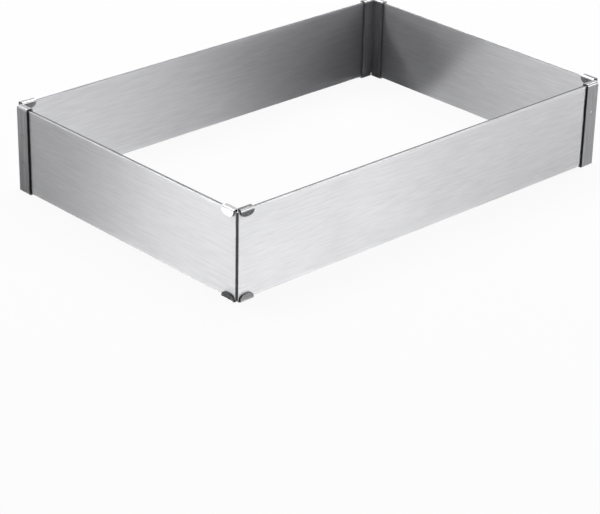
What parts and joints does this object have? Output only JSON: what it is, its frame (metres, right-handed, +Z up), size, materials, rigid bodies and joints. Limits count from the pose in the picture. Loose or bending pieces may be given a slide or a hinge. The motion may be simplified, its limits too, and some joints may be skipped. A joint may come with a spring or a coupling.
{
  "type": "adjustable cake frame",
  "caption": "Rectangular cake frame of L-shaped steel sheets with folded corner clips; it slides open in length and width.",
  "frame": {"origin": "centre of the closed frame, on the surface it stands on", "axes": "+X along the long side, +Y along the short side, +Z up"},
  "size_m": [0.2832, 0.1906, 0.0522],
  "materials": {
    "sheet_steel": "satin rolled stainless steel with sheared edges",
    "clip_steel": "satin stainless steel, folded and spot welded"
  },
  "bodies": {
    "near_corner": {"near_corner_sheet": "sheet_steel", "near_corner_long_clip": "clip_steel", "near_corner_short_clip": "clip_steel"},
    "right_corner": {"right_corner_sheet": "sheet_steel", "right_corner_long_clip": "clip_steel", "right_corner_short_clip": "clip_steel"},
    "left_corner": {"left_corner_sheet": "sheet_steel", "left_corner_long_clip": "clip_steel", "left_corner_short_clip": "clip_steel"},
    "far_corner": {"far_corner_sheet": "sheet_steel", "far_corner_long_clip": "clip_steel", "far_corner_short_clip": "clip_steel"}
  },
  "joints": [
    {"name": "length_slide", "type": "slide", "parent": "near_corner", "child": "right_corner", "axis": [1, 0, 0], "range_m": [0, 0.257]},
    {"name": "width_slide", "type": "slide", "parent": "near_corner", "child": "left_corner", "axis": [0, 1, 0], "range_m": [0, 0.1648]},
    {"name": "far_width_slide", "type": "slide", "parent": "right_corner", "child": "far_corner", "axis": [0, 1, 0], "range_m": [0, 0.1648]}
  ],
  "couplings": [
    {"joint": "far_width_slide", "follows": "width_slide", "ratio": 1}
  ]
}
